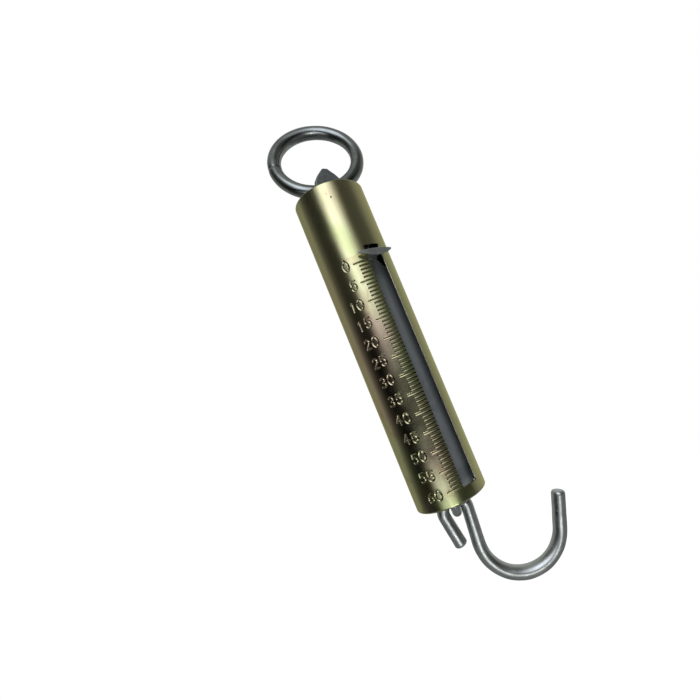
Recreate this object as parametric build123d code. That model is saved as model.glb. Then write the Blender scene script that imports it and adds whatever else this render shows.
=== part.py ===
from build123d import *
import math
import os

os.makedirs("parts", exist_ok=True)

# ---------------------------------------------------------------------------
# Hanging tubular spring scale, 60 divisions.
# Everything is laid out in case coordinates first: Z is the axis of the case
# tube, z = 0 is its top rim, and the reading slot faces -Y.  At the end every
# piece is moved so that the origin is the centre of the suspension ring.
# Millimetres.
# ---------------------------------------------------------------------------

# case tube
TUBE_R = 19.0            # outer radius
TUBE_WALL = 1.0
TUBE_L = 170.0
SLOT_W = 9.2             # reading slot
SLOT_TOP = 36.4          # depth of the slot's upper end below the top rim
SLOT_BOTTOM = 163.9
RIM_ROUND = 0.35

# scale positions
TICK_0 = 44.2            # depth of the zero line
TICK_PITCH = 1.975       # one division
TRAVEL = 121.8           # pointer stroke, from rest to the lower stop

# suspension ring
RING_C = Vector(7.09, 7.32, 30.15)      # centre
RING_N = Vector(-0.4226, -0.8647, 0.2716)   # axis of the ring
RING_R = 23.45           # centreline radius
RING_WIRE = 7.5

# hanger plate, welded across the mouth of the tube
PLATE_FRONT = -8.0
PLATE_T = 3.0
PLATE_CX = -0.5
PLATE_OUTLINE = [(1.45, 14.2), (5.2, 10.7), (7.7, 7.4), (8.7, 4.6), (8.7, 0.0)]
CROSS_TOP = -1.2
CROSS_BOTTOM = -12.5

# top link: closed oval of round bar behind the hanger plate
TL_WIRE = 4.5
TL_A = 6.5               # centreline half width
TL_X, TL_Y = 2.2, 2.77   # its vertical centre line
TL_DIR = Vector(-0.4644, -0.8856, 0)    # horizontal direction in its plane
TL_TOP, TL_BOTTOM = 13.85, -7.2

# draw link: the same at the lower end of the indicator bar
DL_WIRE = 5.0
DL_A = 6.3
DL_X, DL_Y = 0.2, 1.0
DL_DIR = Vector(-0.5807, -0.8141, 0)
DL_TOP, DL_BOTTOM = -161.2, -178.8

# indicator bar
BAR_FRONT = -9.0
BAR_T = 2.5
BAR_HALF = 11.9
BAR_SHOULDER = -45.8     # full width begins
NECK_HALF = 6.4
NECK_START = -39.6
BAR_TOP = -27.5
BAR_END = -174.3         # lowest point of the rounded end

# pointer
PTR_T = 1.5
PTR_BOTTOM = -41.2
PTR_STEM_HALF = 4.15
PTR_TIP_HALF = 9.7
PTR_FLANGE_TOP = -30.0
RIVET_R = 1.4
RIVET_Z = (-33.0, -37.0)

# main spring
SPR_WIRE = 3.5
SPR_R = 9.75             # mean coil radius
SPR_X, SPR_Y = 1.0, 5.6
SPR_TOP, SPR_BOTTOM = -13.6, -157.0      # end coil centre heights
SPR_TURNS = 38

# load hook, drawn in its own plane (t sideways, z up)
HOOK_WIRE = 7.0
HOOK_DIR = Vector(0.8141, -0.5807, 0)
EYE_C = (-0.9, -178.3)
EYE_R = 6.5
BOWL_C = (25.7, -199.7)
BOWL_R = 21.9
TIP_ANGLE = 21.0         # the point leans outward by this much
TIP_LEN = 17.4
SHORT_ANGLE = 9.4
SHORT_LEN = 15.2


def save(shape, node):
    shape = shape.moved(Location(-RING_C))
    shape.label = node
    export_step(shape, os.path.join("parts", node + ".step"))
    print(node, "solids", len(shape.solids()), "volume %.1f" % shape.volume)


def wire_bar(path, start_dir, start, dia):
    """Round bar of one diameter along a path of tangent lines and arcs."""
    prof = Plane(origin=start, z_dir=start_dir) * Circle(dia / 2)
    return sweep(prof, path=path)


# ---------------------------------------------------------------------------
# case tube: rolled and seam-welded tube, reading slot cut along one side
# ---------------------------------------------------------------------------
tube = Location((0, 0, -TUBE_L)) * extrude(
    Circle(TUBE_R) - Circle(TUBE_R - TUBE_WALL), amount=TUBE_L)
slot_len = SLOT_BOTTOM - SLOT_TOP
slot = Location((0, -TUBE_R, -(SLOT_TOP + SLOT_BOTTOM) / 2)) * Box(
    SLOT_W, 2 * TUBE_R - 8, slot_len)
outer_rims = [e for e in tube.edges().filter_by(GeomType.CIRCLE)
              if abs(e.radius - TUBE_R) < 1e-6]
tube = fillet(outer_rims, RIM_ROUND)
case_tube = tube - slot

# ---------------------------------------------------------------------------
# links: closed ovals of round bar
# ---------------------------------------------------------------------------


def oval_link(cx, cy, direction, a, z_top, z_bottom, dia):
    c = Vector(cx, cy, 0)
    d = direction.normalized()

    def p(s, z):
        return c + d * s + Vector(0, 0, z)

    zt, zb = z_top - a, z_bottom + a
    path = Wire([
        Edge.make_line(p(a, zb), p(a, zt)),
        Edge.make_three_point_arc(p(a, zt), p(0, z_top), p(-a, zt)),
        Edge.make_line(p(-a, zt), p(-a, zb)),
        Edge.make_three_point_arc(p(-a, zb), p(0, z_bottom), p(a, zb)),
    ])
    return wire_bar(path, (0, 0, 1), p(a, zb), dia)


top_link = oval_link(TL_X, TL_Y, TL_DIR, TL_A, TL_TOP, TL_BOTTOM, TL_WIRE)
draw_link = oval_link(DL_X, DL_Y, DL_DIR, DL_A, DL_TOP, DL_BOTTOM, DL_WIRE)

# ---------------------------------------------------------------------------
# hanger plate: cross bar fitted between the tube walls, with a tongue that
# stands up out of the mouth; the top link sits in a shallow seat in its back
# ---------------------------------------------------------------------------
right = [(PLATE_CX + x, z) for x, z in PLATE_OUTLINE]
left = [(PLATE_CX - x, z) for x, z in reversed(PLATE_OUTLINE)]
outline = right + [(PLATE_CX + 8.7, CROSS_TOP), (18.5, CROSS_TOP),
                   (18.5, CROSS_BOTTOM), (-18.5, CROSS_BOTTOM),
                   (-18.5, CROSS_TOP), (PLATE_CX - 8.7, CROSS_TOP)] + left
face = Plane((0, PLATE_FRONT, 0), x_dir=(1, 0, 0), z_dir=(0, -1, 0)) * \
    make_face(Polyline(*outline, close=True))
hanger_plate = extrude(face, amount=-PLATE_T)
core = Location((0, 0, -60)) * extrude(Circle(TUBE_R - TUBE_WALL), amount=120)
hanger_plate = hanger_plate & core
hanger_plate = hanger_plate - top_link

# ---------------------------------------------------------------------------
# suspension ring: one closed ring of round bar
# ---------------------------------------------------------------------------
ring_plane = Plane(origin=RING_C, z_dir=RING_N)
suspension_ring = ring_plane.location * Torus(RING_R, RING_WIRE / 2)

# ---------------------------------------------------------------------------
# indicator bar: flat bar, narrowed to a neck above, rounded below
# ---------------------------------------------------------------------------
zc = BAR_END + BAR_HALF
bar_plane = Plane((0, BAR_FRONT, 0), x_dir=(1, 0, 0), z_dir=(0, -1, 0))
bar_edges = [
    Edge.make_line((BAR_HALF, zc), (BAR_HALF, BAR_SHOULDER)),
    Edge.make_line((BAR_HALF, BAR_SHOULDER), (NECK_HALF, NECK_START)),
    Edge.make_line((NECK_HALF, NECK_START), (NECK_HALF, BAR_TOP - 2)),
    Edge.make_line((NECK_HALF, BAR_TOP - 2), (NECK_HALF - 2, BAR_TOP)),
    Edge.make_line((NECK_HALF - 2, BAR_TOP), (-NECK_HALF + 2, BAR_TOP)),
    Edge.make_line((-NECK_HALF + 2, BAR_TOP), (-NECK_HALF, BAR_TOP - 2)),
    Edge.make_line((-NECK_HALF, BAR_TOP - 2), (-NECK_HALF, NECK_START)),
    Edge.make_line((-NECK_HALF, NECK_START), (-BAR_HALF, BAR_SHOULDER)),
    Edge.make_line((-BAR_HALF, BAR_SHOULDER), (-BAR_HALF, zc)),
    Edge.make_three_point_arc((-BAR_HALF, zc), (0, BAR_END), (BAR_HALF, zc)),
]
indicator_bar = extrude(bar_plane * make_face(bar_edges), amount=-BAR_T)
indicator_bar = indicator_bar - draw_link

# ---------------------------------------------------------------------------
# pointer: bracket on the neck, reaching out through the slot
# ---------------------------------------------------------------------------
flange = Location((0, BAR_FRONT - PTR_T / 2, (PTR_BOTTOM + PTR_FLANGE_TOP) / 2)) * \
    Box(2 * PTR_STEM_HALF, PTR_T, PTR_FLANGE_TOP - PTR_BOTTOM)
plan = [
    Edge.make_line((-PTR_STEM_HALF, BAR_FRONT), (PTR_STEM_HALF, BAR_FRONT)),
    Edge.make_line((PTR_STEM_HALF, BAR_FRONT), (PTR_STEM_HALF, -19.45)),
    Edge.make_line((PTR_STEM_HALF, -19.45), (PTR_TIP_HALF, -19.45)),
    Edge.make_three_point_arc((PTR_TIP_HALF, -19.45), (PTR_TIP_HALF + 0.45, -20.1),
                              (PTR_TIP_HALF, -20.75)),
    Edge.make_three_point_arc((PTR_TIP_HALF, -20.75), (0, -22.2),
                              (-PTR_TIP_HALF, -20.75)),
    Edge.make_three_point_arc((-PTR_TIP_HALF, -20.75), (-PTR_TIP_HALF - 0.45, -20.1),
                              (-PTR_TIP_HALF, -19.45)),
    Edge.make_line((-PTR_TIP_HALF, -19.45), (-PTR_STEM_HALF, -19.45)),
    Edge.make_line((-PTR_STEM_HALF, -19.45), (-PTR_STEM_HALF, BAR_FRONT)),
]
blade = Location((0, 0, PTR_BOTTOM)) * extrude(make_face(plan), amount=PTR_T)
pointer = flange + blade

# two rivets hold the bracket on the neck; flush at the back
rivets = []
for z in RIVET_Z:
    shank = Plane((0, BAR_FRONT + BAR_T, z), z_dir=(0, -1, 0)) * \
        Cylinder(RIVET_R, BAR_T + PTR_T, align=(Align.CENTER, Align.CENTER, Align.MIN))
    dome = Plane((0, BAR_FRONT - PTR_T, z), z_dir=(0, -1, 0)) * \
        Cylinder(RIVET_R + 1.0, 1.1, align=(Align.CENTER, Align.CENTER, Align.MIN))
    top_edge = dome.edges().filter_by(GeomType.CIRCLE).sort_by(Axis.Y)[0]
    dome = fillet(top_edge, 0.7)
    rivets.append(shank + dome)
    hole = Plane((0, BAR_FRONT + BAR_T + 1, z), z_dir=(0, -1, 0)) * \
        Cylinder(RIVET_R, BAR_T + PTR_T + 2, align=(Align.CENTER, Align.CENTER, Align.MIN))
    indicator_bar = indicator_bar - hole
    pointer = pointer - hole
pointer_rivets = Compound(children=rivets)

# ---------------------------------------------------------------------------
# main spring: extension spring behind the bar, a hook at each end
# ---------------------------------------------------------------------------


def coil_side(px, py, d):
    """Distance along d from (px, py) to the coil circle, far side first."""
    ux, uy = px - SPR_X, py - SPR_Y
    b = ux * d.X + uy * d.Y
    c = ux * ux + uy * uy - SPR_R ** 2
    q = math.sqrt(b * b - c)
    return -b - q, -b + q


def end_hook(px, py, d, z_coil, z_turn):
    s0, s1 = coil_side(px, py, d)
    up = 1 if z_turn > z_coil else -1

    def p(s, z):
        return Vector(px + d.X * s, py + d.Y * s, z)

    a, m, b = p(s0, z_coil), p(0, z_turn), p(s1 - 0.3, z_coil + up * 2.2)
    arc = Edge.make_three_point_arc(a, m, b)
    bar = wire_bar(Wire([arc]), arc % 0, a, SPR_WIRE)
    return bar, a


tl_cross = Vector(-TL_DIR.Y, TL_DIR.X, 0).normalized()
dl_cross = Vector(-DL_DIR.Y, DL_DIR.X, 0).normalized()
top_hook, top_end = end_hook(TL_X, TL_Y, tl_cross, SPR_TOP,
                             TL_BOTTOM + TL_WIRE / 2 + SPR_WIRE / 2 + 0.35)
low_hook, low_end = end_hook(DL_X, DL_Y, dl_cross, SPR_BOTTOM,
                             DL_TOP - DL_WIRE / 2 - SPR_WIRE / 2 - 0.35)
a_low = math.degrees(math.atan2(low_end.Y - SPR_Y, low_end.X - SPR_X))
a_top = math.degrees(math.atan2(top_end.Y - SPR_Y, top_end.X - SPR_X))
turns = SPR_TURNS + ((a_top - a_low) % 360) / 360
height = SPR_TOP - SPR_BOTTOM
pitch = height / turns
whole = int(turns)
laps = [Edge.make_helix(pitch=pitch, height=pitch, radius=SPR_R).moved(
    Location((0, 0, k * pitch))) for k in range(whole)]
laps.append(Edge.make_helix(pitch=pitch, height=(turns - whole) * pitch,
                            radius=SPR_R).moved(Location((0, 0, whole * pitch))))
h0 = laps[0].position_at(0)
t0 = laps[0].tangent_at(0)
helix = Wire(laps)
coil = sweep(Plane(origin=h0, z_dir=t0) * Circle(SPR_WIRE / 2), path=helix,
             is_frenet=True)
coil = Location((SPR_X, SPR_Y, SPR_BOTTOM), (0, 0, a_low)) * coil
knuckle_low = Location(low_end) * Sphere(SPR_WIRE / 2)
knuckle_top = Location(top_end) * Sphere(SPR_WIRE / 2)
print("spring turns %.2f pitch %.3f coil volume %.0f expected %.0f" % (
    turns, pitch, coil.volume,
    math.pi * SPR_WIRE ** 2 / 4 * helix.length))
main_spring = coil + (top_hook + knuckle_top) + (low_hook + knuckle_low)

# ---------------------------------------------------------------------------
# load hook: closed eye over the draw link, shank, open bowl, plain point
# ---------------------------------------------------------------------------
hd = HOOK_DIR.normalized()
t_link = DL_X * hd.X + DL_Y * hd.Y


def hp(t, z):
    return Vector(DL_X, DL_Y, 0) + hd * (t - t_link) + Vector(0, 0, z)


ex, ez = EYE_C
bx, bz = BOWL_C
dist = math.hypot(bx - ex, bz - ez)
ang_n = math.atan2(bz - ez, bx - ex) + math.acos((EYE_R + BOWL_R) / dist)
nx, nz = math.cos(ang_n), math.sin(ang_n)
e_out = (ex + EYE_R * nx, ez + EYE_R * nz)
b_in = (bx - BOWL_R * nx, bz - BOWL_R * nz)
sa = math.radians(SHORT_ANGLE)
e_in = (ex - EYE_R * math.cos(sa), ez - EYE_R * math.sin(sa))
s_end = (e_in[0] + SHORT_LEN * math.sin(sa), e_in[1] - SHORT_LEN * math.cos(sa))
ta = math.radians(TIP_ANGLE)
b_out = (bx + BOWL_R * math.cos(ta), bz - BOWL_R * math.sin(ta))
t_end = (b_out[0] + TIP_LEN * math.sin(ta), b_out[1] + TIP_LEN * math.cos(ta))
hook_path = Wire([
    Edge.make_line(hp(*s_end), hp(*e_in)),
    Edge.make_three_point_arc(hp(*e_in), hp(ex, ez + EYE_R), hp(*e_out)),
    Edge.make_line(hp(*e_out), hp(*b_in)),
    Edge.make_three_point_arc(hp(*b_in), hp(bx, bz - BOWL_R), hp(*b_out)),
    Edge.make_line(hp(*b_out), hp(*t_end)),
])
start_dir = (hp(*e_in) - hp(*s_end)).normalized()
load_hook = wire_bar(hook_path, start_dir, hp(*s_end), HOOK_WIRE)
end_rims = [e for e in load_hook.edges().filter_by(GeomType.CIRCLE)
            if min((e.arc_center - hp(*s_end)).length,
                   (e.arc_center - hp(*t_end)).length) < 0.01]
load_hook = fillet(end_rims, HOOK_WIRE / 2 - 1.4)

# ---------------------------------------------------------------------------
# write the pieces
# ---------------------------------------------------------------------------
save(suspension_ring, "suspension_ring")
save(case_tube, "case_tube")
save(hanger_plate, "hanger_plate")
save(top_link, "top_link")
save(main_spring, "main_spring")
save(indicator_bar, "indicator_bar")
save(pointer, "pointer")
save(pointer_rivets, "pointer_rivets")
save(draw_link, "draw_link")
save(load_hook, "load_hook")
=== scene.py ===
import math

import bpy
import numpy as np
from mathutils import Matrix, Vector, noise


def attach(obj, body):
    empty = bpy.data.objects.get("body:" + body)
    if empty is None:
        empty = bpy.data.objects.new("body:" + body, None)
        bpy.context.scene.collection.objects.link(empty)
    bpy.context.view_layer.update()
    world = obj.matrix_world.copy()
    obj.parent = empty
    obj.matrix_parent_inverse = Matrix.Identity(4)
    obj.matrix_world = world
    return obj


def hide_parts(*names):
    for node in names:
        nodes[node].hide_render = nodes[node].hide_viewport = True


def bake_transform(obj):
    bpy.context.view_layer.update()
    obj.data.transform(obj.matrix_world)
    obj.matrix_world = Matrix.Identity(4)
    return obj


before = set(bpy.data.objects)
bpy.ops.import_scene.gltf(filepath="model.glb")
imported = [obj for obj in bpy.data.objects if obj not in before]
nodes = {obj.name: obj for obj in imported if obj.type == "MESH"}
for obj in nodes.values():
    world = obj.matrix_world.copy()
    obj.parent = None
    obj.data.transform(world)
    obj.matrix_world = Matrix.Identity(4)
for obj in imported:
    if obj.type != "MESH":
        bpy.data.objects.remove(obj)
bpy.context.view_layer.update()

# The case is laid out in millimetres about the tube's axis: z = 0 is the top
# rim and the slot faces -Y. RC is the ring's centre, which is the row's origin.
RC = np.array([7.09, 7.32, 30.15])


def M(p):
    """Case millimetres to row metres."""
    return (np.asarray(p, float) - RC) / 1000.0


def unit(v):
    v = np.asarray(v, float)
    return v / np.linalg.norm(v)


def make_mesh(name, verts, faces, smooth=True):
    me = bpy.data.meshes.new(name)
    me.from_pydata([tuple(v) for v in verts], [], [tuple(int(i) for i in f) for f in faces])
    me.update()
    me.polygons.foreach_set("use_smooth", [smooth] * len(me.polygons))
    ob = bpy.data.objects.new(name, me)
    bpy.context.scene.collection.objects.link(ob)
    return ob


# ---------------------------------------------------------------------------
# materials
# ---------------------------------------------------------------------------
def mat(name, base, metallic=1.0, rough=0.3):
    m = bpy.data.materials.new(name)
    m.use_nodes = True
    nt = m.node_tree
    p = nt.nodes["Principled BSDF"]
    p.inputs["Base Color"].default_value = (*base, 1)
    p.inputs["Metallic"].default_value = metallic
    p.inputs["Roughness"].default_value = rough
    return m, nt, p


def coords(nt, scale=(1, 1, 1), loc=(0, 0, 0)):
    t = nt.nodes.new("ShaderNodeTexCoord")
    mp = nt.nodes.new("ShaderNodeMapping")
    mp.inputs["Scale"].default_value = scale
    mp.inputs["Location"].default_value = loc
    nt.links.new(t.outputs["Object"], mp.inputs["Vector"])
    return mp.outputs["Vector"]


def noise_tex(nt, vec, scale, detail=4.0, rough=0.55, distort=0.0):
    n = nt.nodes.new("ShaderNodeTexNoise")
    n.inputs["Scale"].default_value = scale
    n.inputs["Detail"].default_value = detail
    n.inputs["Roughness"].default_value = rough
    n.inputs["Distortion"].default_value = distort
    nt.links.new(vec, n.inputs["Vector"])
    return n.outputs["Fac"]


def ramp(nt, fac, stops):
    r = nt.nodes.new("ShaderNodeValToRGB")
    el = r.color_ramp.elements
    el[0].position, el[0].color = stops[0][0], (*stops[0][1], 1)
    el[1].position, el[1].color = stops[-1][0], (*stops[-1][1], 1)
    for pos, col in stops[1:-1]:
        e = el.new(pos)
        e.color = (*col, 1)
    nt.links.new(fac, r.inputs["Fac"])
    return r.outputs["Color"]


def mix(nt, fac, a, b, mode="MIX"):
    n = nt.nodes.new("ShaderNodeMix")
    n.data_type = "RGBA"
    n.blend_type = mode
    if isinstance(fac, (int, float)):
        n.inputs[0].default_value = fac
    else:
        nt.links.new(fac, n.inputs[0])
    for sock, v in ((n.inputs[6], a), (n.inputs[7], b)):
        if isinstance(v, tuple):
            sock.default_value = (*v, 1)
        else:
            nt.links.new(v, sock)
    return n.outputs[2]


def maprange(nt, fac, a, b, c, d):
    n = nt.nodes.new("ShaderNodeMapRange")
    n.inputs["From Min"].default_value = a
    n.inputs["From Max"].default_value = b
    n.inputs["To Min"].default_value = c
    n.inputs["To Max"].default_value = d
    nt.links.new(fac, n.inputs["Value"])
    return n.outputs["Result"]


def bump(nt, p, height, strength, dist):
    b = nt.nodes.new("ShaderNodeBump")
    b.inputs["Strength"].default_value = strength
    b.inputs["Distance"].default_value = dist
    nt.links.new(height, b.inputs["Height"])
    nt.links.new(b.outputs["Normal"], p.inputs["Normal"])


def yellow_zinc():
    """Yellow chromate on bright zinc: olive going to tan and brown in clouds, with draw lines along the tube. The
    struck marks are painted nearly black, as painted shade in the grooves, and the inside wall is painted dark brown,
    as painted shade.
    """
    m, nt, p = mat("yellow_zinc_passivate", (0.52, 0.51, 0.28), 1.0, 0.2)
    cloud = noise_tex(nt, coords(nt, (1, 1, 0.35)), 46.0, 3.0, 0.5, 0.6)
    col = ramp(nt, cloud, [(0.28, (0.62, 0.50, 0.33)), (0.42, (0.60, 0.56, 0.31)),
                           (0.54, (0.58, 0.59, 0.32)), (0.64, (0.51, 0.56, 0.25)),
                           (0.76, (0.56, 0.49, 0.35))])
    patch = noise_tex(nt, coords(nt, (1, 1, 0.55), (0.02, 0.04, 0.013)), 75.0, 4.0, 0.6, 1.2)
    col = mix(nt, maprange(nt, patch, 0.56, 0.72, 0.0, 0.55), col, (0.40, 0.24, 0.14))
    speck = noise_tex(nt, coords(nt, (1, 1, 0.6)), 420.0, 4.0, 0.7)
    col = mix(nt, maprange(nt, speck, 0.62, 0.75, 0.0, 0.5), col, (0.26, 0.16, 0.09))
    lines = noise_tex(nt, coords(nt, (1, 1, 0.012)), 900.0, 3.0, 0.6)
    col = mix(nt, maprange(nt, lines, 0.38, 0.7, 0.0, 0.18), col, (0.30, 0.31, 0.16))
    # struck marks darkened nearly to black: painted shade in the grooves
    g = nt.nodes.new("ShaderNodeAttribute")
    g.attribute_name = "struck"
    col = mix(nt, g.outputs["Fac"], col, (0.03, 0.028, 0.012))
    # the inside wall of the tube is painted dark brown: painted shade
    gi = nt.nodes.new("ShaderNodeAttribute")
    gi.attribute_name = "bore_painted_shade"
    col = mix(nt, gi.outputs["Fac"], col, (0.085, 0.07, 0.04))
    nt.links.new(col, p.inputs["Base Color"])
    p.inputs["Specular Tint"].default_value = (0.88, 0.88, 0.58, 1)
    r = noise_tex(nt, coords(nt), 110.0, 4.0)
    nt.links.new(maprange(nt, r, 0.3, 0.75, 0.13, 0.23), p.inputs["Roughness"])
    bump(nt, p, lines, 0.2, 0.000012)
    return m


def steel(name, dark, light, rough, scale=160.0, stain=(0.1, 0.09, 0.08), metallic=1.0,
          grain=(1, 1, 1), bumpd=0.000012, bstr=0.2, stain_amt=0.3):
    m, nt, p = mat(name, light, metallic, rough)
    a = noise_tex(nt, coords(nt, grain), scale, 5.0, 0.6, 0.2)
    col = ramp(nt, a, [(0.30, dark), (0.50, tuple(0.5 * (x + y) for x, y in zip(dark, light))), (0.68, light)])
    s = noise_tex(nt, coords(nt, (1, 1, 1), (0.13, 0.07, 0.31)), scale * 0.28, 4.0, 0.65, 0.8)
    col = mix(nt, maprange(nt, s, 0.55, 0.75, 0.0, stain_amt), col, stain)
    nt.links.new(col, p.inputs["Base Color"])
    f = noise_tex(nt, coords(nt, grain), scale * 6.0, 4.0, 0.6)
    nt.links.new(maprange(nt, f, 0.3, 0.7, rough * 0.8, rough * 1.3), p.inputs["Roughness"])
    bump(nt, p, f, bstr, bumpd)
    return m


TUBE = yellow_zinc()
RING = steel("ring_dark_zinc", (0.25, 0.275, 0.25), (0.38, 0.415, 0.375), 0.22, 110.0, bumpd=0.000004)
GREY = steel("grey_zinc", (0.27, 0.295, 0.28), (0.44, 0.475, 0.45), 0.42, 240.0, metallic=0.75)
HOOK = steel("hook_bright_zinc", (0.52, 0.56, 0.51), (0.72, 0.765, 0.70), 0.32, 110.0, bumpd=0.000005,
             stain=(0.30, 0.31, 0.30))
BAR = steel("bar_satin_steel", (0.46, 0.51, 0.475), (0.68, 0.735, 0.69), 0.5, 90.0,
            grain=(1, 1, 0.05), stain=(0.16, 0.18, 0.185), metallic=0.4)
DARK = steel("pointer_dark_steel", (0.38, 0.40, 0.365), (0.62, 0.65, 0.595), 0.34, 200.0, metallic=0.7)
# the bar is painted darker towards its right edge (+x): painted shade from the slot wall
bt = BAR.node_tree
bsx = bt.nodes.new("ShaderNodeSeparateXYZ")
btc = bt.nodes.new("ShaderNodeTexCoord")
bt.links.new(btc.outputs["Object"], bsx.inputs[0])
bpr = bt.nodes["Principled BSDF"]
old = bpr.inputs["Base Color"].links[0].from_socket
bt.links.new(mix(bt, maprange(bt, bsx.outputs[0], -0.0006, 0.0032, 0.0, 0.76), old, (0.10, 0.125, 0.13)),
             bpr.inputs["Base Color"])
SPRING = steel("spring_oiled_steel", (0.05, 0.045, 0.04), (0.20, 0.17, 0.14), 0.34, 220.0,
               stain=(0.16, 0.08, 0.04), stain_amt=0.5)
WELD = steel("weld_bead_steel", (0.09, 0.09, 0.09), (0.26, 0.26, 0.25), 0.45, 500.0,
             stain=(0.14, 0.08, 0.05), bumpd=0.00005, bstr=0.5)


def paint(ob, m):
    ob.data.materials.clear()
    ob.data.materials.append(m)
    return ob


# ---------------------------------------------------------------------------
# round bar along a flat path
# ---------------------------------------------------------------------------
def flat_bar(name, pts, normal, radii, sides=28, closed=False, dome=0.0, lump=0.0, seed=0.0):
    """pts in case mm, in a plane with that normal; radii per point."""
    pts = np.asarray(pts, float)
    n = len(pts)
    nrm = unit(normal)
    tang = []
    for i in range(n):
        a = pts[(i - 1) % n] if (closed or i > 0) else pts[i]
        b = pts[(i + 1) % n] if (closed or i < n - 1) else pts[i]
        tang.append(unit(b - a))
    verts, faces = [], []
    for i in range(n):
        side = np.cross(nrm, tang[i])
        for k in range(sides):
            q = 2 * math.pi * k / sides
            d = side * math.cos(q) + nrm * math.sin(q)
            p = pts[i] + d * radii[i]
            if lump:
                p = p + d * lump * noise.noise(Vector(p * 0.16 + seed))
            verts.append(M(p))
    rows = n if closed else n - 1
    for i in range(rows):
        j = (i + 1) % n
        for k in range(sides):
            l = (k + 1) % sides
            faces.append((i * sides + k, i * sides + l, j * sides + l, j * sides + k))
    if not closed:
        for end, i in ((-1, 0), (1, n - 1)):
            base = [i * sides + k for k in range(sides)]
            prev = base
            steps = 7
            for s in range(1, steps + 1):
                f = s / steps
                a = f * math.pi / 2
                # a flat-ended dome: sheared wire with a worn edge
                rr = radii[i] * (1 - dome * (1 - math.cos(a))) if s < steps else 0
                off = radii[i] * dome * math.sin(a)
                side = np.cross(nrm, tang[i])
                if s == steps:
                    verts.append(M(pts[i] + tang[i] * end * off))
                    c = len(verts) - 1
                    for k in range(sides):
                        l = (k + 1) % sides
                        faces.append((prev[k], prev[l], c) if end > 0 else (prev[l], prev[k], c))
                else:
                    cur = []
                    for k in range(sides):
                        q = 2 * math.pi * k / sides
                        d = side * math.cos(q) + nrm * math.sin(q)
                        verts.append(M(pts[i] + tang[i] * end * off + d * rr))
                        cur.append(len(verts) - 1)
                    for k in range(sides):
                        l = (k + 1) % sides
                        f4 = (prev[k], prev[l], cur[l], cur[k])
                        faces.append(f4 if end > 0 else f4[::-1])
                    prev = cur
    ob = make_mesh(name, verts, faces)
    return ob


# ---------------------------------------------------------------------------
# suspension ring, with its butt joint
# ---------------------------------------------------------------------------
N = unit((-0.4226, -0.8647, 0.2716))
jd = np.array([-0.878, 0.474, 0.030])
e1 = unit(jd - N * np.dot(jd, N))
e2 = np.cross(N, e1)
pts, rad = [], []
angles = list(np.linspace(1.2, 358.8, 260)) + [359.25, 359.6, 359.8, 360.2, 360.4, 360.75]
angles = sorted(angles)
for a in angles:
    q = math.radians(a)
    d = min(abs(a - 360), abs(a))
    arc = math.radians(d) * 23.45
    g = 3.75 - 0.42 * math.exp(-(arc / 0.16) ** 2) - 0.10 * math.exp(-(arc / 0.9) ** 2)
    off = 0.09 * (1 if a < 180 else -1) * math.exp(-(arc / 3.0) ** 2)
    pts.append(RC + (e1 * math.cos(q) + e2 * math.sin(q)) * (23.45 + off) + N * off * 1.4)
    rad.append(g)
ring = paint(flat_bar("ring_bar", pts, N, rad, 40, closed=True, lump=0.05, seed=3.0), RING)
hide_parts("suspension_ring")
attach(ring, "ring")


# ---------------------------------------------------------------------------
# oval links
# ---------------------------------------------------------------------------
def oval(cx, cy, d, a, zt, zb, dia, name, seed):
    d = unit(d)
    c = np.array([cx, cy, 0.0])
    P = lambda s, z: c + d * s + np.array([0, 0, z])
    pts = []
    for z in np.linspace(zb + a, zt - a, 16, endpoint=False):
        pts.append(P(a, z))
    for q in np.linspace(0, math.pi, 34, endpoint=False):
        pts.append(P(a * math.cos(q), zt - a + a * math.sin(q)))
    for z in np.linspace(zt - a, zb + a, 16, endpoint=False):
        pts.append(P(-a, z))
    for q in np.linspace(math.pi, 2 * math.pi, 34, endpoint=False):
        pts.append(P(a * math.cos(q), zb + a + a * math.sin(q)))
    nrm = np.cross(d, np.array([0, 0, 1.0]))
    return flat_bar(name, pts, nrm, [dia / 2] * len(pts), 26, closed=True, lump=0.04, seed=seed)


link = paint(oval(2.2, 2.77, (-0.4644, -0.8856, 0), 6.5, 13.85, -7.2, 4.5, "top_link_bar", 9.0), GREY)
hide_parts("top_link")
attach(link, "case")
dlink = paint(oval(0.2, 1.0, (-0.5807, -0.8141, 0), 6.3, -161.2, -178.8, 5.0, "draw_link_bar", 21.0), HOOK)
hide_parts("draw_link")
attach(dlink, "draw")


# ---------------------------------------------------------------------------
# load hook: wire a little thinner at the eye and fuller round the bowl
# ---------------------------------------------------------------------------
hd = unit((0.8141, -0.5807, 0))
tl = 0.2 * hd[0] + 1.0 * hd[1]


def hp(t, z):
    return np.array([0.2, 1.0, 0]) + hd * (t - tl) + np.array([0, 0, z])


EX, EZ, BX, BZ, ER, BR = -0.9, -178.3, 25.7, -199.7, 6.5, 21.9
dist = math.hypot(BX - EX, BZ - EZ)
an = math.atan2(BZ - EZ, BX - EX) + math.acos((ER + BR) / dist)
nx, nz = math.cos(an), math.sin(an)
e_out = (EX + ER * nx, EZ + ER * nz)
b_in = (BX - BR * nx, BZ - BR * nz)
sa = math.radians(9.4)
e_in = (EX - ER * math.cos(sa), EZ - ER * math.sin(sa))
s_end = (e_in[0] + 15.2 * math.sin(sa), e_in[1] - 15.2 * math.cos(sa))
ta = math.radians(21.0)
b_out = (BX + BR * math.cos(ta), BZ - BR * math.sin(ta))
t_end = (b_out[0] + 17.4 * math.sin(ta), b_out[1] + 17.4 * math.cos(ta))
path, wid = [], []


def seg(p, q, n, r0, r1):
    for i in range(n):
        f = i / n
        path.append(hp(p[0] + (q[0] - p[0]) * f, p[1] + (q[1] - p[1]) * f))
        wid.append(r0 + (r1 - r0) * f)


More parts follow.
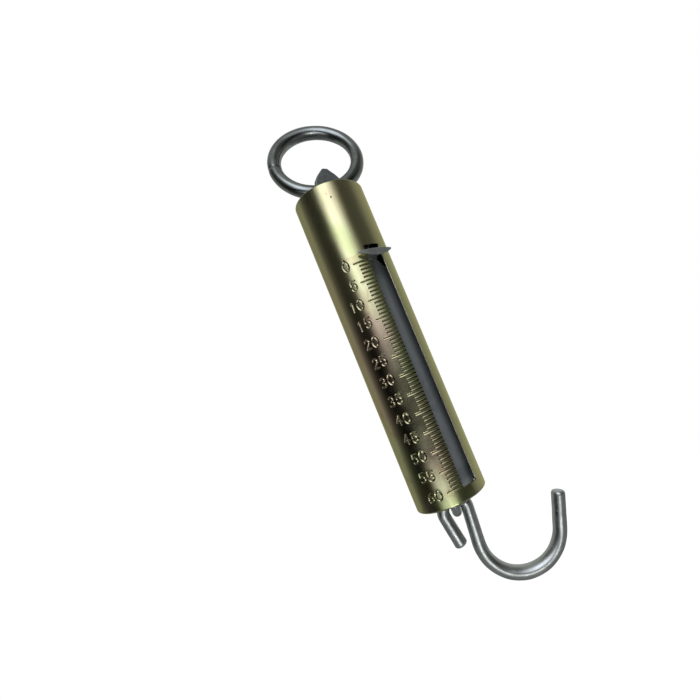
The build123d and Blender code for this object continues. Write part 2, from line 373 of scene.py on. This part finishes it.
def arc(cx, cz, r, a0, a1, n, r0, r1):
    for i in range(n):
        f = i / n
        a = a0 + (a1 - a0) * f
        path.append(hp(cx + r * math.cos(a), cz + r * math.sin(a)))
        wid.append(r0 + (r1 - r0) * f)


A0 = math.atan2(e_in[1] - EZ, e_in[0] - EX)
A1 = math.atan2(e_out[1] - EZ, e_out[0] - EX)
if A0 < 0:
    A0 += 2 * math.pi
B0 = math.atan2(b_in[1] - BZ, b_in[0] - BX) % (2 * math.pi)
B1 = math.atan2(b_out[1] - BZ, b_out[0] - BX) + 2 * math.pi
seg(s_end, e_in, 14, 3.45, 3.3)
arc(EX, EZ, ER, A0, A1, 44, 3.3, 3.3)
seg(e_out, b_in, 16, 3.3, 3.5)
BM = (B0 + B1) / 2
arc(BX, BZ, BR, B0, BM, 40, 3.5, 3.72)
arc(BX, BZ, BR, BM, B1, 44, 3.72, 3.66)
seg(b_out, t_end, 14, 3.66, 3.55)
path.append(hp(*t_end))
wid.append(3.55)
hook = paint(flat_bar("hook_bar", path, (0.5807, 0.8141, 0), wid, 36, dome=0.42, lump=0.08, seed=5.0), HOOK)
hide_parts("load_hook")
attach(hook, "hook")


# ---------------------------------------------------------------------------
# case tube: wall with the slot cut out, struck divisions and numbers
# ---------------------------------------------------------------------------
R, WALL, L = 19.0, 1.0, 170.0
SLOT_H, S_TOP, S_BOT = 4.6, -36.4, -163.9
AZ_S = math.degrees(math.asin(SLOT_H / R))


def glyph(ch):
    """Strokes of a numeral in a box 3.3 wide and 5 tall, centred."""
    def ar(cx, cy, rx, ry, a0, a1, n=12):
        return [(cx + rx * math.cos(math.radians(a)), cy + ry * math.sin(math.radians(a)))
                for a in np.linspace(a0, a1, n)]
    if ch == "0":
        return [ar(0, 0, 1.45, 2.35, 0, 360, 22)]
    if ch == "1":
        return [[(-0.75, 1.5), (0.15, 2.35), (0.15, -2.4)]]
    if ch == "2":
        return [ar(0, 1.1, 1.35, 1.3, 170, -30) + [(-1.4, -2.35), (1.5, -2.35)]]
    if ch == "3":
        return [ar(0, 1.2, 1.3, 1.15, 150, -90, 10) + ar(0, -1.15, 1.45, 1.2, 90, -150, 12)]
    if ch == "4":
        return [[(0.55, -2.4), (0.55, 2.35), (-1.55, -0.9), (1.5, -0.9)]]
    if ch == "5":
        return [[(1.25, 2.3), (-1.0, 2.3), (-1.2, 0.2)] + ar(0.0, -0.8, 1.4, 1.5, 125, -145, 14)]
    if ch == "6":
        return [[(0.9, 2.2), (-0.3, 1.5), (-1.15, 0.2)] + ar(0.05, -0.95, 1.35, 1.4, 150, 510, 20)]
    return []


strokes = []      # (s0, z0, s1, z1, shade): s is arc length from the slot side, in mm; the last value sets how dark the groove is painted, as painted shade


def add(s0, z0, s1, z1, w):
    strokes.append((s0, z0, s1, z1, w))


MM = R * math.pi / 180
for k in range(61):
    z = -(44.2 + 1.975 * k)
    left = -38.0 if k % 5 == 0 else -30.5
    # last value: painted shade of the groove, dark for ticks and light for numerals
    add(left * MM, z, -AZ_S * MM + 1.0, z, 0.62)
rng = np.random.default_rng(7)
for v in range(0, 61, 5):
    z = -(44.2 + 1.975 * v) + 0.2
    txt = str(v)
    centres = [-51.0] if len(txt) == 1 else [-65.5, -52.0]
    for ch, c in zip(txt, centres):
        tilt = rng.uniform(-0.05, 0.05)
        dz, ds = rng.uniform(-0.25, 0.25), rng.uniform(-0.18, 0.18)
        for line in glyph(ch):
            q = [(x * math.cos(tilt) - y * math.sin(tilt) + c * MM + ds,
                  x * math.sin(tilt) + y * math.cos(tilt) + z + dz) for x, y in line]
            for p0, p1 in zip(q[:-1], q[1:]):
                add(p0[0], p0[1], p1[0], p1[1], 0.12)
add(-31 * MM, -8.3, -31 * MM + 0.1, -8.3, 0.5)
ST = np.array(strokes)

az_cols = list(np.linspace(-AZ_S, -74.0, 84))[::-1]
back = list(np.linspace(AZ_S, 286.0, 82))[:-1]           # from the slot's right edge round the back
slot_cols = list(np.linspace(-AZ_S, AZ_S, 8))[1:-1]
cols = az_cols + slot_cols + back                        # -74 .. 286, closed loop
nc = len(cols)
i_sl, i_sr = len(az_cols) - 1, len(az_cols) + len(slot_cols)

prof = [(R - 0.38, 0.0), (R - 0.20, -0.05), (R - 0.06, -0.17), (R, -0.38)]
z_mid = sorted(set([round(-1 - 0.9 * i, 3) for i in range(8)] + [round(-7.4 - 0.3 * i, 3) for i in range(7)]
                   + [round(-10.5 - 3.6 * i, 3) for i in range(8)] + [S_TOP]
                   + [round(-36.8 - 0.7 * i, 3) for i in range(6)]
                   + [round(-41.2 - 0.247 * i, 4) for i in range(505)]
                   + [S_BOT, -166.6, -167.4, -168.3, -169.2]), reverse=True)
rows = [(r, z) for r, z in prof] + [(R, z) for z in z_mid] + [(r, -L - z) for r, z in reversed(prof)]
rr = np.array([r for r, _ in rows])
zz = np.array([z for _, z in rows])
nr = len(rows)
AZ = np.array(cols)
S = AZ * MM
D = np.full((nr, nc), 9.0)
W = np.full((nr, nc), 0.4)
for s0, z0, s1, z1, w in ST:
    ri = np.where((zz < max(z0, z1) + 1.2) & (zz > min(z0, z1) - 1.2))[0]
    ci = np.where((S < max(s0, s1) + 1.2) & (S > min(s0, s1) - 1.2))[0]
    if not len(ri) or not len(ci):
        continue
    gs, gz = S[ci][None, :], zz[ri][:, None]
    vx, vz = s1 - s0, z1 - z0
    t = np.clip(((gs - s0) * vx + (gz - z0) * vz) / (vx * vx + vz * vz + 1e-9), 0, 1)
    d = np.hypot(gs - s0 - t * vx, gz - z0 - t * vz)
    sub = D[np.ix_(ri, ci)]
    W[np.ix_(ri, ci)] = np.where(d < sub, w, W[np.ix_(ri, ci)])
    D[np.ix_(ri, ci)] = np.minimum(sub, d)
depth = -0.30 * np.clip(1 - (D / 0.36) ** 2, 0, 1) + 0.026 * np.exp(-((D - 0.52) / 0.17) ** 2)
# painted shade in the grooves: how dark each struck mark is painted, darkest along its middle
groove_shade = W * np.clip(1.25 - (D / 0.36) ** 2, 0, 1)
depth[:, [0]] *= 0
verts = []
for i in range(nr):
    for j in range(nc):
        a = math.radians(AZ[j])
        r = rr[i] + depth[i, j]
        r += 0.035 * noise.noise(Vector((math.sin(a) * 1.6, math.cos(a) * 1.6, zz[i] * 0.035)))
        x, y = r * math.sin(a), -r * math.cos(a)
        if j in (i_sl, i_sr) and S_BOT <= zz[i] <= S_TOP:
            x = math.copysign(SLOT_H, x)
        verts.append(M((x, y, zz[i])))
nout = len(verts)
for i in range(nr):
    for j in range(nc):
        a = math.radians(AZ[j])
        r = R - WALL
        x, y = r * math.sin(a), -r * math.cos(a)
        if i_sl <= j <= i_sr:
            f = math.asin(SLOT_H / r) / math.radians(AZ_S)
            x, y = r * math.sin(a * f), -r * math.cos(a * f)
        verts.append(M((x, y, zz[i])))
open_cell = np.zeros((nr - 1, nc), bool)
for i in range(nr - 1):
    if zz[i] <= S_TOP + 1e-6 and zz[i + 1] >= S_BOT - 1e-6:
        open_cell[i, i_sl:i_sr] = True
faces = []


def vo(i, j): return i * nc + j % nc
def vi(i, j): return nout + i * nc + j % nc


for i in range(nr - 1):
    for j in range(nc):
        if open_cell[i, j]:
            continue
        faces.append((vo(i, j), vo(i + 1, j), vo(i + 1, j + 1), vo(i, j + 1)))
        faces.append((vi(i, j), vi(i, j + 1), vi(i + 1, j + 1), vi(i + 1, j)))
for j in range(nc):
    faces.append((vo(0, j), vo(0, j + 1), vi(0, j + 1), vi(0, j)))
    faces.append((vo(nr - 1, j), vi(nr - 1, j), vi(nr - 1, j + 1), vo(nr - 1, j + 1)))
for i in range(nr - 1):
    for j in range(nc):
        if not open_cell[i, j]:
            continue
        if not open_cell[i, j - 1]:
            faces.append((vo(i, j), vo(i + 1, j), vi(i + 1, j), vi(i, j)))
        if not open_cell[i, (j + 1) % nc]:
            faces.append((vo(i, j + 1), vi(i, j + 1), vi(i + 1, j + 1), vo(i + 1, j + 1)))
        if i == 0 or not open_cell[i - 1, j]:
            faces.append((vo(i, j), vi(i, j), vi(i, j + 1), vo(i, j + 1)))
        if i == nr - 2 or not open_cell[i + 1, j]:
            faces.append((vo(i + 1, j), vo(i + 1, j + 1), vi(i + 1, j + 1), vi(i + 1, j)))
used = sorted({v for f in faces for v in f})
remap = {v: k for k, v in enumerate(used)}
tube = make_mesh("case_tube_wall", [verts[v] for v in used], [tuple(remap[v] for v in f) for f in faces])
flat_groove_shade = groove_shade.reshape(-1)
# per-vertex painted shade for the struck grooves
att = tube.data.attributes.new("struck", "FLOAT", "POINT")
att.data.foreach_set("value", [float(flat_groove_shade[v]) if v < nout else 0.0 for v in used])
# marks the inside wall for its painted shade
att = tube.data.attributes.new("bore_painted_shade", "FLOAT", "POINT")
att.data.foreach_set("value", [0.0 if v < nout else 1.0 for v in used])
tube.data.shade_smooth()
bpy.context.view_layer.objects.active = tube
ang = math.radians(50)
import bmesh
bm = bmesh.new()
bm.from_mesh(tube.data)
bmesh.ops.recalc_face_normals(bm, faces=bm.faces)
for e in bm.edges:
    if len(e.link_faces) == 2 and e.calc_face_angle(0) > ang:
        e.smooth = False
bm.to_mesh(tube.data)
bm.free()
paint(tube, TUBE)
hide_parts("case_tube")
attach(tube, "case")


# ---------------------------------------------------------------------------
# flat pieces with worn edges
# ---------------------------------------------------------------------------
def slab(name, outline, y0, t, bevel, m, warp=0.0):
    """outline in case mm (x, z), front face at y0, thickness t towards +Y."""
    bm = bmesh.new()
    vs = [bm.verts.new(tuple(M((x, y0, z)))) for x, z in outline]
    f = bm.faces.new(vs)
    ext = bmesh.ops.extrude_face_region(bm, geom=[f])
    for g in ext["geom"]:
        if isinstance(g, bmesh.types.BMVert):
            g.co.y += t / 1000
    bmesh.ops.recalc_face_normals(bm, faces=bm.faces)
    me = bpy.data.meshes.new(name)
    bm.to_mesh(me)
    bm.free()
    ob = bpy.data.objects.new(name, me)
    bpy.context.scene.collection.objects.link(ob)
    bv = ob.modifiers.new("edge", "BEVEL")
    bv.width = bevel / 1000
    bv.segments = 3
    bv.limit_method = "ANGLE"
    bv.angle_limit = math.radians(25)
    bv.harden_normals = False
    me.shade_smooth()
    ws = ob.modifiers.new("wn", "WEIGHTED_NORMAL")
    ws.keep_sharp = False
    return paint(ob, m)


bar_out = [(11.9, -45.8), (6.4, -39.6), (6.4, -29.5), (4.4, -27.5), (-4.4, -27.5), (-6.4, -29.5),
           (-6.4, -39.6), (-11.9, -45.8)]
zc = -174.3 + 11.9
bar_out += [(-11.9 * math.cos(a), zc - 11.9 * math.sin(a)) for a in np.linspace(0, math.pi, 37)]
barp = slab("indicator_bar_strip", bar_out, -9.0, 2.5, 0.35, BAR)
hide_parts("indicator_bar")
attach(barp, "draw")

# a thin round bead along the slot's right edge, coloured much lighter than the tube: a painted highlight
EDGE = steel("slot_edge_painted_highlight", (0.62, 0.60, 0.42), (0.86, 0.84, 0.64), 0.38, 300.0)
ex_, ey_ = 4.52, -math.sqrt(19.0 ** 2 - 4.6 ** 2) + 0.34
edge = paint(flat_bar("slot_edge_bead_highlight", [(ex_, ey_, z) for z in np.linspace(-37.2, -163.2, 60)],
                      (0, 1, 0), [0.26] * 60, 12), EDGE)
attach(edge, "case")

ox = -0.5
rt = [(1.45, 14.2), (5.2, 10.7), (7.7, 7.4), (8.7, 4.6), (8.7, -1.2)]
po = [(ox + x, z) for x, z in rt] + [(16.1, -1.2), (16.1, -12.5), (-16.1, -12.5), (-16.1, -1.2)] + \
     [(ox - x, z) for x, z in reversed(rt)]
plate = slab("hanger_plate_strip", po, -8.0, 3.0, 0.45, GREY)
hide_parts("hanger_plate")
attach(plate, "case")

# pointer: blade with a bowed front edge, stem through the slot, flange on the neck
bm = bmesh.new()
tipx = 9.7
plan = [(-4.15, -9.0), (4.15, -9.0), (4.15, -19.45), (tipx, -19.45), (tipx + 0.35, -19.75),
        (tipx + 0.45, -20.1), (tipx + 0.35, -20.5), (tipx, -20.75)]
cx, cy_ = 0, None
# circle through the two tips and the middle of the bow
sag = 22.2 - 20.75
rad_b = (tipx ** 2 + sag ** 2) / (2 * sag)
for u in np.linspace(tipx, -tipx, 22)[1:-1]:
    plan.append((u, -22.2 + rad_b - math.sqrt(rad_b ** 2 - u ** 2)))
plan += [(-tipx, -20.75), (-tipx - 0.35, -20.5), (-tipx - 0.45, -20.1), (-tipx - 0.35, -19.75),
         (-tipx, -19.45), (-4.15, -19.45)]


def prism(name, plan, z0, t, bevel, m, droop=0.0):
    bm = bmesh.new()
    vs = [bm.verts.new(tuple(M((x, y, z0)))) for x, y in plan]
    n_base = len(vs)
    f = bm.faces.new(vs)
    ext = bmesh.ops.extrude_face_region(bm, geom=[f])
    for g in ext["geom"]:
        if isinstance(g, bmesh.types.BMVert):
            g.co.z += t / 1000
    if droop:
        for v, (x, y) in zip(vs, plan):
            k = max(0.0, 1 - (x / 10.15) ** 2)
            v.co.z -= (droop * k * (1.0 if y < -19.6 else 0.1) - 0.8 * (1 - k)) / 1000
    bmesh.ops.recalc_face_normals(bm, faces=bm.faces)
    me = bpy.data.meshes.new(name)
    bm.to_mesh(me)
    bm.free()
    ob = bpy.data.objects.new(name, me)
    bpy.context.scene.collection.objects.link(ob)
    bv = ob.modifiers.new("edge", "BEVEL")
    bv.width = bevel / 1000
    bv.segments = 2
    bv.limit_method = "ANGLE"
    bv.angle_limit = math.radians(35)
    me.shade_smooth()
    ob.modifiers.new("wn", "WEIGHTED_NORMAL")
    return paint(ob, m)


blade = prism("pointer_blade", plan, -41.6, 1.5, 0.16, DARK, droop=2.2)
lip = prism("pointer_bend", [(-4.1, -14.2), (4.1, -14.2), (4.1, -12.6), (-4.1, -12.6)], -42.7, 1.2, 0.3, DARK)
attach(lip, "draw")
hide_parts("pointer")
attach(blade, "draw")
flange = slab("pointer_flange", [(-4.15, -30.0), (4.15, -30.0), (4.15, -41.15), (-4.15, -41.15)],
              -10.5, 1.5, 0.22, DARK)
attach(flange, "draw")

# rivet heads
for n, z in enumerate((-33.0, -37.0)):
    vs, fs = [], []
    ringn = 20
    profile = [(2.4, 0.0), (2.4, 0.35), (2.25, 0.68), (1.9, 0.95), (1.3, 1.08), (0.6, 1.1)]
    for r, h in profile:
        for k in range(ringn):
            q = 2 * math.pi * k / ringn
            vs.append(M((r * math.cos(q), -10.5 - h, z + r * math.sin(q))))
    for i in range(len(profile) - 1):
        for k in range(ringn):
            l = (k + 1) % ringn
            fs.append((i * ringn + k, i * ringn + l, (i + 1) * ringn + l, (i + 1) * ringn + k))
    fs.append(tuple(range((len(profile) - 1) * ringn, len(profile) * ringn)))
    fs.append(tuple(reversed(range(ringn))))
    rv = paint(make_mesh("rivet_%d" % (n + 1), vs, fs), DARK)
    if n == 0:
        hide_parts("pointer_rivets")
    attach(rv, "draw")


# ---------------------------------------------------------------------------
# main spring, stretched between case and draw
# ---------------------------------------------------------------------------
SX, SY, SR, SW = 1.0, 5.6, 9.75, 1.75
Z1, Z0 = -13.6, -157.0


def coil_side(px, py, d):
    ux, uy = px - SX, py - SY
    b = ux * d[0] + uy * d[1]
    c = ux * ux + uy * uy - SR ** 2
    q = math.sqrt(b * b - c)
    return -b - q, -b + q


def hook_points(px, py, d, zc, zt):
    s0, s1 = coil_side(px, py, d)
    up = 1 if zt > zc else -1
    a = np.array([px + d[0] * s0, py + d[1] * s0, zc])
    m = np.array([px, py, zt])
    b = np.array([px + d[0] * (s1 - 0.3), py + d[1] * (s1 - 0.3), zc + up * 2.2])
    return a, m, b


def circ3(a, m, b, n):
    """Points on the circle through three points."""
    u = unit(m - a)
    w = unit(np.cross(u, b - a))
    v = np.cross(w, u)
    ax, mx = 0.0, np.linalg.norm(m - a)
    bx, by = np.dot(b - a, u), np.dot(b - a, v)
    h = ((bx - mx / 2) ** 2 + by ** 2 - (mx / 2) ** 2) / (2 * by)
    c = a + u * mx / 2 + v * h
    r = np.linalg.norm(a - c)
    x1 = unit(a - c)
    y1 = np.cross(w, x1)
    ang_m = math.atan2(np.dot(m - c, y1), np.dot(m - c, x1)) % (2 * math.pi)
    ang_b = math.atan2(np.dot(b - c, y1), np.dot(b - c, x1)) % (2 * math.pi)
    if ang_m > ang_b:
        ang_b -= 2 * math.pi
    return [c + r * (x1 * math.cos(t) + y1 * math.sin(t)) for t in np.linspace(0, ang_b, n)]


TD = unit((-0.4644, -0.8856, 0))
DD = unit((-0.5807, -0.8141, 0))
tcross = np.array([-TD[1], TD[0], 0])
dcross = np.array([-DD[1], DD[0], 0])
ta_, tm_, tb_ = hook_points(2.2, 2.77, tcross, Z1, -7.2 + 2.25 + 1.75 + 0.35)
la_, lm_, lb_ = hook_points(0.2, 1.0, dcross, Z0, -161.2 - 2.5 - 1.75 - 0.35)
a_low = math.atan2(la_[1] - SY, la_[0] - SX)
a_top = math.atan2(ta_[1] - SY, ta_[0] - SX)
turns = 38 + ((a_top - a_low) % (2 * math.pi)) / (2 * math.pi)
sp = circ3(la_, lm_, lb_, 20)[::-1][:-1]
nh = int(turns * 26)
for i in range(nh + 1):
    f = i / nh
    q = a_low + 2 * math.pi * turns * f
    sp.append(np.array([SX + SR * math.cos(q), SY + SR * math.sin(q), Z0 + (Z1 - Z0) * f]))
sp += circ3(ta_, tm_, tb_, 20)[1:]
sp = np.array(sp)
tg = np.gradient(sp, axis=0)
tg /= np.linalg.norm(tg, axis=1)[:, None]
ref = unit(np.cross(tg[0], (0.3, 0.2, 1)))
sv, sf = [], []
SD = 10
for i in range(len(sp)):
    ref = ref - tg[i] * np.dot(ref, tg[i])
    ref = unit(ref)
    bi = np.cross(tg[i], ref)
    for k in range(SD):
        q = 2 * math.pi * k / SD
        sv.append(M(sp[i] + (ref * math.cos(q) + bi * math.sin(q)) * SW))
for i in range(len(sp) - 1):
    for k in range(SD):
        l = (k + 1) % SD
        sf.append((i * SD + k, i * SD + l, (i + 1) * SD + l, (i + 1) * SD + k))
sf.append(tuple(reversed(range(SD))))
sf.append(tuple(range((len(sp) - 1) * SD, len(sp) * SD)))
spring = paint(make_mesh("main_spring_coil", sv, sf), SPRING)
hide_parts("main_spring")
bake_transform(spring)


# ---------------------------------------------------------------------------
# weld beads
# ---------------------------------------------------------------------------
def bead(name, p0, p1, r, body, seed):
    """A lumpy run of weld between two points, in case mm."""
    p0, p1 = np.array(p0, float), np.array(p1, float)
    n = 26
    t = unit(p1 - p0)
    ref = unit(np.cross(t, (0.3, 0.9, 0.2)))
    bi = np.cross(t, ref)
    vs, fs = [], []
    sd = 14
    for i in range(n):
        f = i / (n - 1)
        taper = math.sqrt(max(0.02, 1 - (2 * f - 1) ** 4))
        rr_ = r * taper * (1 + 0.16 * math.sin(f * 34 + seed))
        for k in range(sd):
            q = 2 * math.pi * k / sd
            d = ref * math.cos(q) + bi * math.sin(q)
            p = p0 + (p1 - p0) * f + d * rr_
            p = p + d * 0.25 * r * noise.noise(Vector(p * 0.9 + seed))
            vs.append(M(p))
    for i in range(n - 1):
        for k in range(sd):
            l = (k + 1) % sd
            fs.append((i * sd + k, i * sd + l, (i + 1) * sd + l, (i + 1) * sd + k))
    fs.append(tuple(reversed(range(sd))))
    fs.append(tuple(range((n - 1) * sd, n * sd)))
    ob = paint(make_mesh(name, vs, fs), WELD)
    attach(ob, body)
    return ob


bead("weld_plate_left", (-16.5, -6.3, -2.0), (-16.5, -6.3, -11.8), 0.9, "case", 1.0)
bead("weld_plate_right", (16.5, -6.3, -2.0), (16.5, -6.3, -11.8), 0.9, "case", 2.0)
bead("weld_link_top", (-3.6, -4.7, -0.5), (-3.6, -4.7, 8.5), 0.8, "case", 3.0)
bead("weld_link_top_2", (1.6, -4.7, -0.5), (1.6, -4.7, 8.5), 0.8, "case", 4.0)
bead("weld_link_draw", (-6.1, -6.2, -173.0), (-6.1, -6.2, -166.0), 0.8, "draw", 5.0)
bead("weld_link_draw_2", (-0.8, -6.2, -173.0), (-0.8, -6.2, -166.0), 0.8, "draw", 6.0)

# ---------------------------------------------------------------------------
# floor, light, camera
# ---------------------------------------------------------------------------
bpy.ops.mesh.primitive_circle_add(vertices=96, radius=1.05, fill_type="NGON", location=(0, 0, -0.62))
floor = bpy.context.object
floor.name = "floor"
fm, fnt, fp = mat("floor_pale", (0.5, 0.5, 0.5), 0.0, 0.9)
fp.inputs["Specular IOR Level"].default_value = 0.0
fp.inputs["Emission Color"].default_value = (1, 1, 1, 1)
fp.inputs["Emission Strength"].default_value = 0.86
flp = fnt.nodes.new("ShaderNodeLightPath")
fdark = fnt.nodes.new("ShaderNodeBsdfDiffuse")
fdark.inputs["Color"].default_value = (0.45, 0.45, 0.45, 1)
fms = fnt.nodes.new("ShaderNodeMixShader")
fnt.links.new(flp.outputs["Is Camera Ray"], fms.inputs[0])
fnt.links.new(fdark.outputs[0], fms.inputs[1])
fnt.links.new(fp.outputs[0], fms.inputs[2])
fnt.links.new(fms.outputs[0], fnt.nodes["Material Output"].inputs["Surface"])
paint(floor, fm)

# The studio: a broad softbox in front, a tall strip to the left, a dimmer wall
# to the right and behind, and dark flags between them. Directions are the
# row's own, so the light stays put when the camera moves.
world = bpy.data.worlds.new("studio")
bpy.context.scene.world = world
world.use_nodes = True
wn = world.node_tree
wn.nodes.clear()


def wmath(op, a, b=None):
    n = wn.nodes.new("ShaderNodeMath")
    n.operation = op
    for i, v in enumerate((a, b)):
        if v is None:
            continue
        if isinstance(v, (int, float)):
            n.inputs[i].default_value = v
        else:
            wn.links.new(v, n.inputs[i])
    return n.outputs[0]


def wramp(fac, stops):
    r = wn.nodes.new("ShaderNodeValToRGB")
    el = r.color_ramp.elements
    stops = [(p, c if isinstance(c, tuple) else (c, c, c)) for p, c in stops]
    el[0].position, el[0].color = stops[0][0], (*stops[0][1], 1)
    el[1].position, el[1].color = stops[-1][0], (*stops[-1][1], 1)
    for pos, col in stops[1:-1]:
        e = el.new(pos)
        e.color = (*col, 1)
    wn.links.new(fac, r.inputs["Fac"])
    return r.outputs["Color"]


out = wn.nodes.new("ShaderNodeOutputWorld")
tc = wn.nodes.new("ShaderNodeTexCoord")
sx = wn.nodes.new("ShaderNodeSeparateXYZ")
wn.links.new(tc.outputs["Generated"], sx.inputs[0])
azn = wmath("ADD", wmath("DIVIDE", wmath("ARCTAN2", sx.outputs[0], wmath("MULTIPLY", sx.outputs[1], -1.0)), 2 * math.pi), 0.5)
eln = wmath("ADD", wmath("MULTIPLY", sx.outputs[2], 0.5), 0.5)
A = lambda d: (d + 180) / 360.0
E = lambda d: 0.5 + 0.5 * math.sin(math.radians(d))
# the low softbox stands further left than the high one
low = wramp(eln, [(E(-15), 0.033), (E(-8), 0.0)])
azs = wmath("ADD", azn, low)
band = wramp(azs, [(A(-180), 0.15), (A(-148), 0.155), (A(-132), 0.07), (A(-118), 0.03), (A(-104), 0.02),
                   (A(-84), 0.022), (A(-72), 0.06), (A(-62), (0.38, 0.385, 0.43)), (A(-54), (0.78, 0.79, 0.91)), (A(-44), (1.03, 1.04, 1.24)),
                   (A(-30), (0.94, 0.95, 1.13)), (A(-16), (0.50, 0.505, 0.59)), (A(-8), 0.24), (A(0), 0.08), (A(10), 0.04), (A(45), 0.05),
                   (A(67), 0.13), (A(80), 0.165), (A(92), 0.19), (A(115), 0.24), (A(140), 0.2), (A(180), 0.15)])
front = wramp(azn, [(A(-130), 0.0), (A(-96), 1.0), (A(20), 1.0), (A(60), 0.0)])
high = wramp(eln, [(E(-30), 0.62), (E(-15.4), 0.66), (E(-12.9), 0.10), (E(-10.4), 0.035), (E(0), 0.035), (E(4), 0.075),
                   (E(8), 0.29), (E(11.4), 0.54), (E(16), 0.84), (E(20), 1.0)])
fm1 = wn.nodes.new("ShaderNodeMix")
fm1.data_type = "RGBA"
wn.links.new(front, fm1.inputs[0])
fm1.inputs[6].default_value = (1, 1, 1, 1)
wn.links.new(high, fm1.inputs[7])
fm2 = wn.nodes.new("ShaderNodeMix")
fm2.data_type = "RGBA"
fm2.blend_type = "MULTIPLY"
fm2.inputs[0].default_value = 1.0
wn.links.new(band, fm2.inputs[6])
wn.links.new(fm1.outputs[2], fm2.inputs[7])
# overhead softbox
topr = wramp(eln, [(E(48), 0.0), (E(62), 1.0)])
fm3 = wn.nodes.new("ShaderNodeMix")
fm3.data_type = "RGBA"
wn.links.new(topr, fm3.inputs[0])
wn.links.new(fm2.outputs[2], fm3.inputs[6])
fm3.inputs[7].default_value = (0.16, 0.165, 0.17, 1)
bg_env = wn.nodes.new("ShaderNodeBackground")
wn.links.new(fm3.outputs[2], bg_env.inputs["Color"])
bg_env.inputs["Strength"].default_value = 2.0
lp = wn.nodes.new("ShaderNodeLightPath")
bg_cam = wn.nodes.new("ShaderNodeBackground")
bg_cam.inputs["Color"].default_value = (1, 1, 1, 1)
bg_cam.inputs["Strength"].default_value = 1.0
ms = wn.nodes.new("ShaderNodeMixShader")
wn.links.new(lp.outputs["Is Camera Ray"], ms.inputs[0])
wn.links.new(bg_env.outputs[0], ms.inputs[1])
wn.links.new(bg_cam.outputs[0], ms.inputs[2])
wn.links.new(ms.outputs[0], out.inputs["Surface"])


def area(name, az, el, dist, w, h, radiance, col=(1, 1, 1)):
    """A softbox on a sphere about the object's middle; az from -Y towards +X."""
    c = Vector((-0.004, -0.007, -0.12))
    a, e = math.radians(az), math.radians(el)
    d = Vector((math.sin(a) * math.cos(e), -math.cos(a) * math.cos(e), math.sin(e)))
    l = bpy.data.lights.new(name, "AREA")
    l.shape = "RECTANGLE"
    l.size, l.size_y = w, h
    l.energy = radiance * math.pi * w * h
    l.color = col
    ob = bpy.data.objects.new(name, l)
    bpy.context.scene.collection.objects.link(ob)
    ob.location = c + d * dist
    ob.rotation_mode = "QUATERNION"
    ob.rotation_quaternion = (-d).to_track_quat("-Z", "Y")
    return ob


area("ring_low", -38, -33, 0.9, 0.34, 0.2, 4.5)

cam = bpy.data.cameras.new("cam")
cam.sensor_width = 36
cam.lens = 384.036 / 700 * 36
cam.shift_x = (350 - 417) / 700
cam.shift_y = 3 / 700
cam.clip_start = 0.01
co = bpy.data.objects.new("cam", cam)
bpy.context.scene.collection.objects.link(co)
rv_ = Vector((0.73293716, -0.56111444, -0.38464751))
uv_ = Vector((0.26426806, -0.28617033, 0.92101516))
wv_ = Vector((0.62686961, 0.77669629, 0.06146025))
mw = Matrix.Identity(4)
for i in range(3):
    mw[i][0], mw[i][1], mw[i][2] = rv_[i], uv_[i], -wv_[i]
pos = M((-118.3247, -165.8851, -107.6077))
mw[0][3], mw[1][3], mw[2][3] = pos
co.matrix_world = mw
bpy.context.scene.camera = co
bpy.context.scene.view_settings.view_transform = "Standard"
